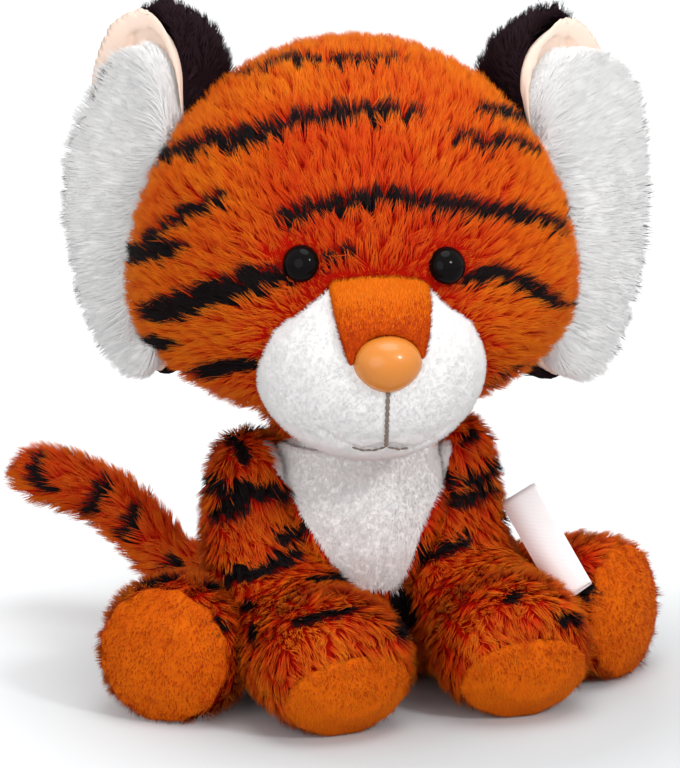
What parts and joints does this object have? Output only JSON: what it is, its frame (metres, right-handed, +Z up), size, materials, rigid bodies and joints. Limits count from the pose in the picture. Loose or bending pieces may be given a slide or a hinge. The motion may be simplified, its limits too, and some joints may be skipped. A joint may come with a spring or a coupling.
{
  "type": "plush tiger",
  "caption": "Sitting plush tiger with a big round head, white muzzle, large ears, flat soles, striped long pile and a curled-up tail.",
  "frame": {"origin": "where the middle of the seat meets the floor", "axes": "+Z up, the tiger's body faces -Y, +X is the tiger's own left"},
  "size_m": [0.1187, 0.1146, 0.1368],
  "materials": {
    "tiger_plush": "long orange pile with near-black stripes",
    "stuffing": "loose polyester fibre",
    "pellets": "woven bag of small pellets",
    "white_plush": "short white pile",
    "short_plush": "short orange pile",
    "thread": "brown embroidery thread",
    "nose_plastic": "smooth moulded plastic, soft gloss",
    "eye_plastic": "polished black",
    "washer_plastic": "natural moulded plastic",
    "dark_plush": "dark brown-black pile",
    "ear_lining": "peach velour",
    "white_fur": "long fine white fur",
    "ribbon": "bare white satin ribbon"
  },
  "bodies": {
    "torso": {"body_skin": "tiger_plush", "body_stuffing": "stuffing", "pellet_bag": "pellets", "chest_bib": "white_plush"},
    "neck": {"neck_stuffing": "stuffing"},
    "head": {"head_skin": "tiger_plush", "head_stuffing": "stuffing", "muzzle_cover": "white_plush", "muzzle_stuffing": "stuffing", "nose_bridge": "short_plush", "mouth_thread": "thread", "nose": "nose_plastic", "nose_washer": "washer_plastic", "eye_left": "eye_plastic", "eye_right": "eye_plastic", "eye_washer_left": "washer_plastic", "eye_washer_right": "washer_plastic"},
    "ear_left": {"ear_back_left": "dark_plush", "ear_lining_left": "ear_lining", "ear_fur_left": "white_fur"},
    "arm_left": {"arm_skin_left": "tiger_plush", "arm_stuffing_left": "stuffing", "paw_pad_left": "short_plush"},
    "leg_left": {"leg_skin_left": "tiger_plush", "leg_stuffing_left": "stuffing", "sole_left": "short_plush"},
    "ear_right": {"ear_back_right": "dark_plush", "ear_lining_right": "ear_lining", "ear_fur_right": "white_fur"},
    "arm_right": {"arm_skin_right": "tiger_plush", "arm_stuffing_right": "stuffing", "paw_pad_right": "short_plush"},
    "leg_right": {"leg_skin_right": "tiger_plush", "leg_stuffing_right": "stuffing", "sole_right": "short_plush"},
    "tail": {"tail_skin": "tiger_plush", "tail_stuffing": "stuffing"},
    "label": {"label": "ribbon"}
  },
  "joints": [
    {"name": "head_nod", "type": "hinge", "parent": "torso", "child": "neck", "pos_m": [0, 0.002, 0.044], "axis": [0.9816, -0.1908, 0], "range_deg": [-10, 12], "stiffness_Nm_per_rad": 0.8},
    {"name": "head_turn", "type": "hinge", "parent": "neck", "child": "head", "pos_m": [0, 0.002, 0.044], "axis": [0, 0, 1], "range_deg": [-20, 20], "stiffness_Nm_per_rad": 0.6},
    {"name": "ear_fold_left", "type": "hinge", "parent": "head", "child": "ear_left", "pos_m": [0.03785, 0.00279, 0.097], "axis": [0, 0, 1], "range_deg": [-8, 18], "stiffness_Nm_per_rad": 0.03},
    {"name": "ear_fold_right", "type": "hinge", "parent": "head", "child": "ear_right", "pos_m": [-0.03479, 0.01691, 0.097], "axis": [0, 0, -1], "range_deg": [-8, 18], "stiffness_Nm_per_rad": 0.03},
    {"name": "arm_raise_left", "type": "hinge", "parent": "torso", "child": "arm_left", "pos_m": [0.02, 0, 0.043], "axis": [-1, 0, 0], "range_deg": [0, 30], "stiffness_Nm_per_rad": 0.1},
    {"name": "arm_raise_right", "type": "hinge", "parent": "torso", "child": "arm_right", "pos_m": [-0.02, 0, 0.043], "axis": [-1, 0, 0], "range_deg": [0, 30], "stiffness_Nm_per_rad": 0.1},
    {"name": "leg_spread_left", "type": "hinge", "parent": "torso", "child": "leg_left", "pos_m": [0.02, 0.012, 0.012], "axis": [0, 0, 1], "range_deg": [0, 22], "stiffness_Nm_per_rad": 0.1},
    {"name": "leg_spread_right", "type": "hinge", "parent": "torso", "child": "leg_right", "pos_m": [-0.02, 0.012, 0.012], "axis": [0, 0, -1], "range_deg": [0, 22], "stiffness_Nm_per_rad": 0.1},
    {"name": "tail_wag", "type": "hinge", "parent": "torso", "child": "tail", "pos_m": [0, 0.022, 0.011], "axis": [0, 0, 1], "range_deg": [-18, 18], "stiffness_Nm_per_rad": 0.05},
    {"name": "label_flap", "type": "hinge", "parent": "arm_left", "child": "label", "pos_m": [0.0318, -0.02, 0.0275], "axis": [0.1582, -0.8138, -0.5592], "range_deg": [-4, 16], "stiffness_Nm_per_rad": 0.0005}
  ]
}
